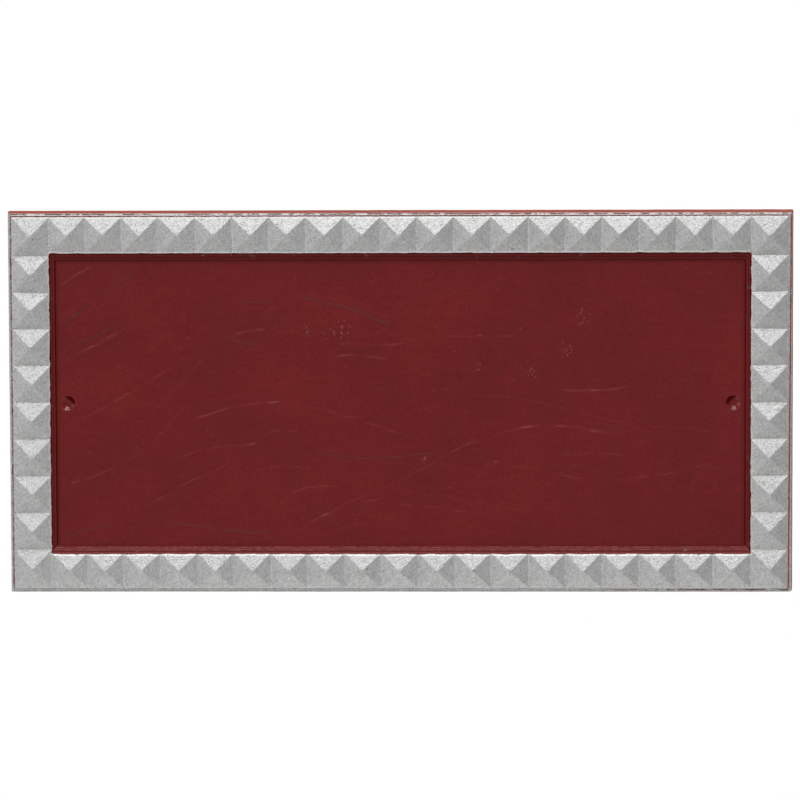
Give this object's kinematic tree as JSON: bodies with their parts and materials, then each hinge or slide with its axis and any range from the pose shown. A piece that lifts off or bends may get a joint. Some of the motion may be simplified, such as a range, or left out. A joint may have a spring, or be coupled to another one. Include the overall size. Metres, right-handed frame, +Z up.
{
  "type": "wall plaque",
  "caption": "Oblong cast wall plaque with a border of silver square pyramid studs round a plain sunken deep red field and a screw spot near each end",
  "frame": {"origin": "middle of the flat back, on the wall face", "axes": "+X along the width, to the right seen from the front; +Y through the back into the wall; +Z up"},
  "size_m": [0.406, 0.0162, 0.1984],
  "materials": {
    "red_enamel": "satin gloss deep red enamel over sand-cast metal, lightly creased on the field",
    "silver_paint": "satin silver paint rolled over the raised studs, with red showing in the steps",
    "cast_back": "bare sand-cast aluminium with red overspray at its edges"
  },
  "bodies": {
    "root": {"plaque": "red_enamel"}
  },
  "joints": []
}
